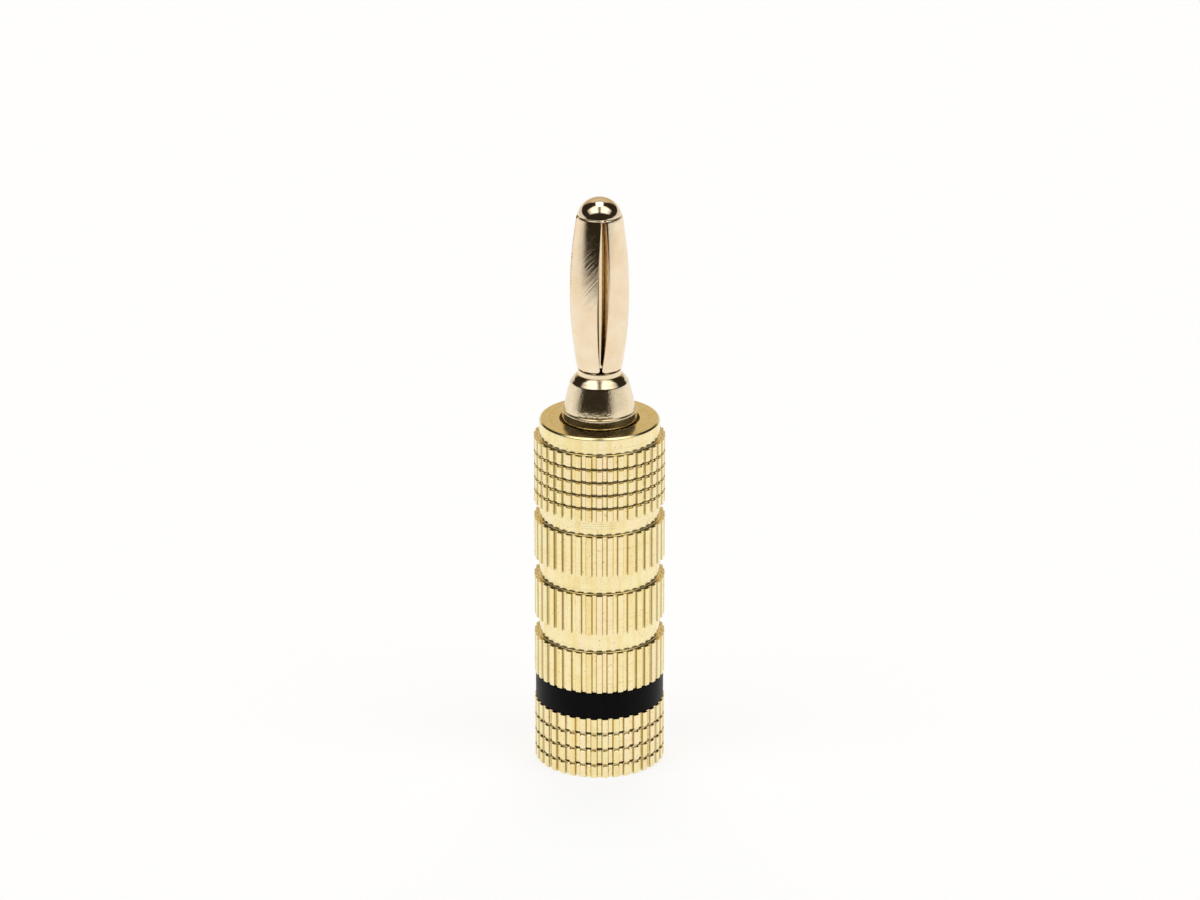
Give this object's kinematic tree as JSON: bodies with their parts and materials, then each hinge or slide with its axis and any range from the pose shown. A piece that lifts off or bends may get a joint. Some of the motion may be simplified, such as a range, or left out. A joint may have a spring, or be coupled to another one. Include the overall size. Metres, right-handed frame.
{
  "type": "banana plug",
  "caption": "Gold-plated 4 mm banana plug for bare speaker wire: lantern spring contact, knurled barrel, colour ring and a screw-on rear cap that clamps the strands.",
  "frame": {"origin": "centre of the rear face of the rear cap, on which the plug stands", "axes": "+Z along the plug's axis towards the nose of the contact"},
  "size_m": [0.0114, 0.0114, 0.052],
  "materials": {
    "knurled_gold": "bright gold plate on knurled brass",
    "contact_gold": "polished pale gold plate",
    "ring_plastic": "semi-gloss black moulded plastic"
  },
  "bodies": {
    "cap": {"rear_cap": "knurled_gold"},
    "ring": {"colour_ring": "ring_plastic"},
    "sleeve": {"barrel": "knurled_gold", "contact_pin": "contact_gold", "tip_cap": "contact_gold"},
    "spring": {"lantern_spring": "contact_gold"}
  },
  "joints": [
    {"name": "barrel_turn", "type": "hinge", "parent": "cap", "child": "ring", "pos_m": [0, 0, 0.00565], "axis": [0, 0, 1], "range_deg": [0, 3960]},
    {"name": "barrel_lift", "type": "slide", "parent": "ring", "child": "sleeve", "axis": [0, 0, 1], "range_m": [0, 0.011]},
    {"name": "spring_turn", "type": "hinge", "parent": "sleeve", "child": "spring", "pos_m": [0, 0, 0.05038], "axis": [0, 0, 1], "continuous": true}
  ],
  "couplings": [
    {"joint": "barrel_lift", "follows": "barrel_turn", "m_per_rad": 0.00015915}
  ]
}
